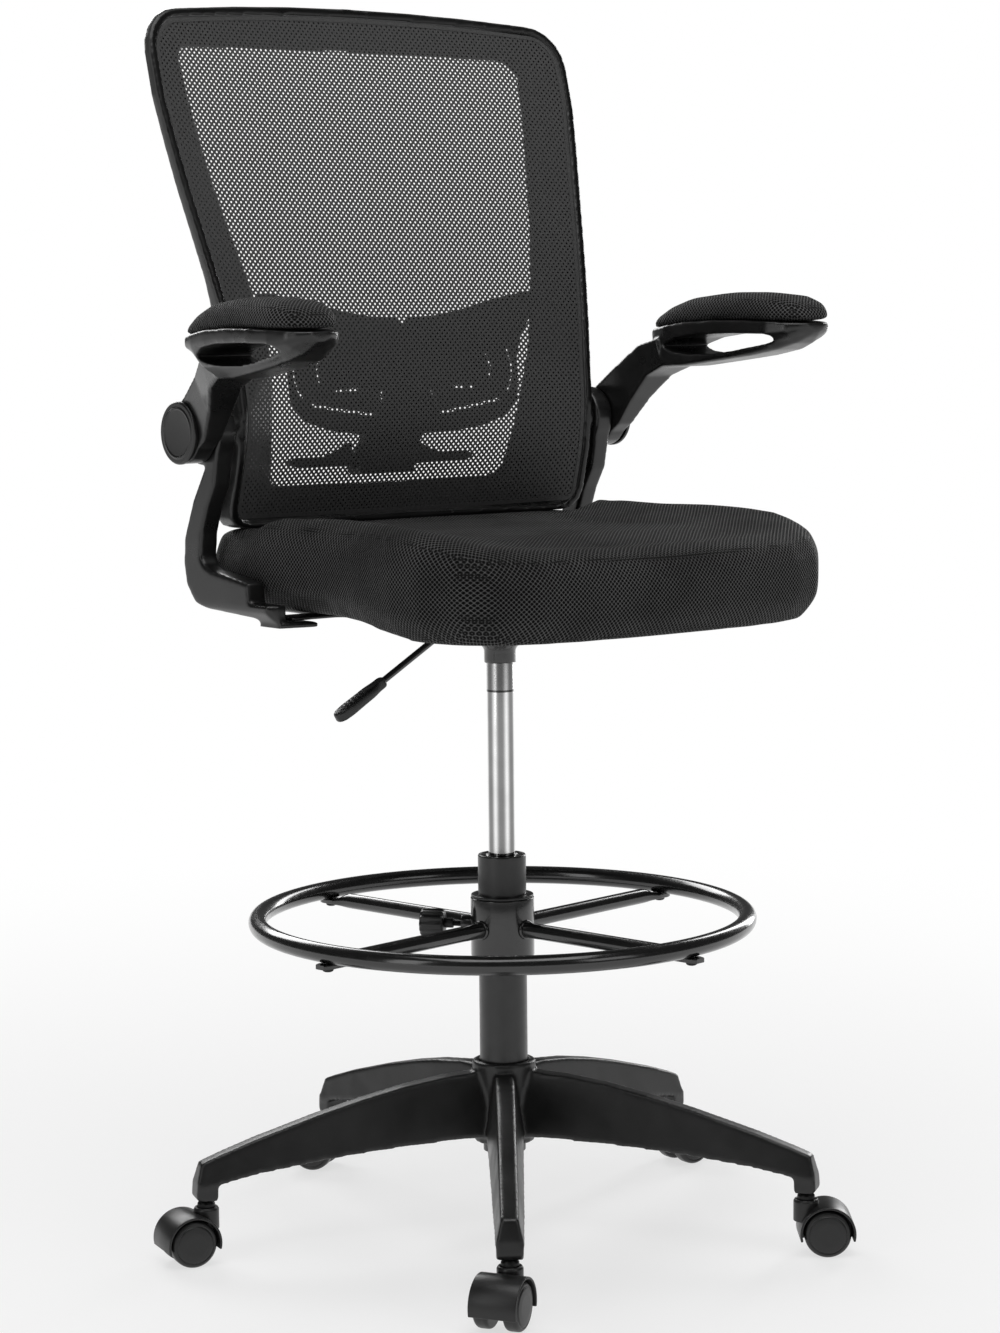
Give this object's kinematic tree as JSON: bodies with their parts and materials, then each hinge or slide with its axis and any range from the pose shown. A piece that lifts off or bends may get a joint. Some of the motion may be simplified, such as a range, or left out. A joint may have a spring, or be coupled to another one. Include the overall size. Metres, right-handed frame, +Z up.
{
  "type": "drafting chair",
  "caption": "Tall swivel work chair with a mesh back, flip-up arms, lumbar support, gas lift, sliding foot ring and a star base on twin-wheel casters.",
  "frame": {"origin": "on the floor, under the middle of the chair's outline; the column stands 30.5 mm in front of it and 0.5 mm to the sitter's right", "axes": "+Z up, the sitter faces -Y, and the sitter's left hand is on +X"},
  "size_m": [0.7132, 0.6896, 1.2805],
  "materials": {
    "black_nylon": "satin moulded nylon",
    "black_plastic": "fine satin moulding",
    "wheel_plastic": "satin moulding",
    "gloss_black_steel": "glossy black coat",
    "column_paint": "satin black coat",
    "knob_plastic": "matt moulding with ribs",
    "chromed_steel": "polished",
    "bare_steel": "machined",
    "seat_fabric": "black woven fabric over foam",
    "mesh_fabric": "black open mesh"
  },
  "bodies": {
    "base": {"base_star": "black_nylon", "column_tube": "column_paint", "column_guide_bush": "black_plastic"},
    "piston": {"piston_rod": "bare_steel", "thrust_bearing": "bare_steel"},
    "seat": {"gas_cylinder": "chromed_steel", "seat_mechanism": "gloss_black_steel", "seat_pan": "black_plastic", "seat_cushion": "seat_fabric", "bracket_left": "black_plastic", "bracket_right": "black_plastic", "back_frame": "black_plastic", "back_mesh": "mesh_fabric", "pivot_bolt_left": "black_plastic", "pivot_bolt_right": "black_plastic"},
    "lever": {"lever_rod": "gloss_black_steel", "lever_paddle": "knob_plastic"},
    "button": {"valve_button": "bare_steel"},
    "arm_left": {"arm_left": "black_plastic", "arm_pad_left": "seat_fabric"},
    "arm_right": {"arm_right": "black_plastic", "arm_pad_right": "seat_fabric"},
    "lumbar": {"lumbar_pad": "black_plastic", "lumbar_carrier": "black_plastic", "lumbar_handle": "black_plastic"},
    "foot_ring": {"foot_ring": "gloss_black_steel", "foot_ring_spider": "gloss_black_steel", "foot_ring_bush": "black_plastic", "ring_screw_1": "bare_steel", "ring_screw_2": "bare_steel", "ring_screw_3": "bare_steel", "ring_screw_4": "bare_steel"},
    "clamp_screw": {"clamp_screw": "bare_steel"},
    "clamp_knob": {"clamp_knob": "knob_plastic"},
    "caster_1": {"caster_stem_1": "bare_steel", "caster_hood_1": "wheel_plastic", "caster_axle_1": "bare_steel"},
    "wheel_1_left": {"wheel_1_left": "wheel_plastic"},
    "wheel_1_right": {"wheel_1_right": "wheel_plastic"},
    "caster_2": {"caster_stem_2": "bare_steel", "caster_hood_2": "wheel_plastic", "caster_axle_2": "bare_steel"},
    "wheel_2_left": {"wheel_2_left": "wheel_plastic"},
    "wheel_2_right": {"wheel_2_right": "wheel_plastic"},
    "caster_3": {"caster_stem_3": "bare_steel", "caster_hood_3": "wheel_plastic", "caster_axle_3": "bare_steel"},
    "wheel_3_left": {"wheel_3_left": "wheel_plastic"},
    "wheel_3_right": {"wheel_3_right": "wheel_plastic"},
    "caster_4": {"caster_stem_4": "bare_steel", "caster_hood_4": "wheel_plastic", "caster_axle_4": "bare_steel"},
    "wheel_4_left": {"wheel_4_left": "wheel_plastic"},
    "wheel_4_right": {"wheel_4_right": "wheel_plastic"},
    "caster_5": {"caster_stem_5": "bare_steel", "caster_hood_5": "wheel_plastic", "caster_axle_5": "bare_steel"},
    "wheel_5_left": {"wheel_5_left": "wheel_plastic"},
    "wheel_5_right": {"wheel_5_right": "wheel_plastic"}
  },
  "joints": [
    {"name": "seat_swivel", "type": "hinge", "parent": "base", "child": "piston", "pos_m": [-0.0005, -0.0305, 0.0935], "axis": [0, 0, 1], "continuous": true},
    {"name": "seat_height", "type": "slide", "parent": "piston", "child": "seat", "axis": [0, 0, 1], "range_m": [-0.195, 0]},
    {"name": "lever_lift", "type": "hinge", "parent": "seat", "child": "lever", "pos_m": [-0.0455, -0.0305, 0.6463], "axis": [0, 1, 0], "range_deg": [0, 5], "stiffness_Nm_per_rad": 5},
    {"name": "button_press", "type": "slide", "parent": "seat", "child": "button", "axis": [0, 0, 1], "range_m": [-0.005, 0]},
    {"name": "arm_left_flip", "type": "hinge", "parent": "seat", "child": "arm_left", "pos_m": [0.2695, 0.1265, 0.8405], "axis": [-1, 0, 0], "range_deg": [0, 90]},
    {"name": "arm_right_flip", "type": "hinge", "parent": "seat", "child": "arm_right", "pos_m": [-0.2705, 0.1265, 0.8405], "axis": [-1, 0, 0], "range_deg": [0, 90]},
    {"name": "lumbar_slide", "type": "slide", "parent": "seat", "child": "lumbar", "axis": [0, 0.1961, 0.9806], "range_m": [-0.005, 0.03]},
    {"name": "foot_ring_slide", "type": "slide", "parent": "base", "child": "foot_ring", "axis": [0, 0, 1], "range_m": [-0.105, 0.04]},
    {"name": "clamp_travel", "type": "slide", "parent": "foot_ring", "child": "clamp_screw", "axis": [-0.6691, 0.7431, 0], "range_m": [0, 0.0025]},
    {"name": "clamp_turn", "type": "hinge", "parent": "clamp_screw", "child": "clamp_knob", "pos_m": [-0.03396, 0.00666, 0.3255], "axis": [-0.6691, 0.7431, 0], "range_deg": [0, 725]},
    {"name": "caster_1_swivel", "type": "hinge", "parent": "base", "child": "caster_1", "pos_m": [-0.19622, -0.28556, 0.065], "axis": [0, 0, 1], "continuous": true},
    {"name": "wheel_1_left_roll", "type": "hinge", "parent": "caster_1", "child": "wheel_1_left", "pos_m": [-0.21397, -0.29581, 0.02403], "axis": [0.5, -0.866, 0], "continuous": true},
    {"name": "wheel_1_right_roll", "type": "hinge", "parent": "caster_1", "child": "wheel_1_right", "pos_m": [-0.21397, -0.29581, 0.02403], "axis": [0.5, -0.866, 0], "continuous": true},
    {"name": "caster_2_swivel", "type": "hinge", "parent": "base", "child": "caster_2", "pos_m": [0.1816, -0.29546, 0.065], "axis": [0, 0, 1], "continuous": true},
    {"name": "wheel_2_left_roll", "type": "hinge", "parent": "caster_2", "child": "wheel_2_left", "pos_m": [0.19775, -0.30808, 0.02403], "axis": [0.6157, 0.788, 0], "continuous": true},
    {"name": "wheel_2_right_roll", "type": "hinge", "parent": "caster_2", "child": "wheel_2_right", "pos_m": [0.19775, -0.30808, 0.02403], "axis": [0.6157, 0.788, 0], "continuous": true},
    {"name": "caster_3_swivel", "type": "hinge", "parent": "base", "child": "caster_3", "pos_m": [0.30776, 0.06081, 0.065], "axis": [0, 0, 1], "continuous": true},
    {"name": "wheel_3_left_roll", "type": "hinge", "parent": "caster_3", "child": "wheel_3_left", "pos_m": [0.32826, 0.06045, 0.02403], "axis": [0.0175, 0.9998, 0], "continuous": true},
    {"name": "wheel_3_right_roll", "type": "hinge", "parent": "caster_3", "child": "wheel_3_right", "pos_m": [0.32826, 0.06045, 0.02403], "axis": [0.0175, 0.9998, 0], "continuous": true},
    {"name": "caster_4_swivel", "type": "hinge", "parent": "base", "child": "caster_4", "pos_m": [0.00792, 0.29089, 0.065], "axis": [0, 0, 1], "continuous": true},
    {"name": "wheel_4_left_roll", "type": "hinge", "parent": "caster_4", "child": "wheel_4_left", "pos_m": [-0.00355, 0.30789, 0.02403], "axis": [-0.829, -0.5592, 0], "continuous": true},
    {"name": "wheel_4_right_roll", "type": "hinge", "parent": "caster_4", "child": "wheel_4_right", "pos_m": [-0.00355, 0.30789, 0.02403], "axis": [-0.829, -0.5592, 0], "continuous": true},
    {"name": "caster_5_swivel", "type": "hinge", "parent": "base", "child": "caster_5", "pos_m": [-0.30356, 0.07682, 0.065], "axis": [0, 0, 1], "continuous": true},
    {"name": "wheel_5_left_roll", "type": "hinge", "parent": "caster_5", "child": "wheel_5_left", "pos_m": [-0.32353, 0.08143, 0.02403], "axis": [-0.225, -0.9744, 0], "continuous": true},
    {"name": "wheel_5_right_roll", "type": "hinge", "parent": "caster_5", "child": "wheel_5_right", "pos_m": [-0.32353, 0.08143, 0.02403], "axis": [-0.225, -0.9744, 0], "continuous": true}
  ],
  "couplings": [
    {"joint": "button_press", "follows": "lever_lift", "m_per_rad": -0.045},
    {"joint": "clamp_turn", "follows": "clamp_travel", "rad_per_m": 5026.5}
  ]
}
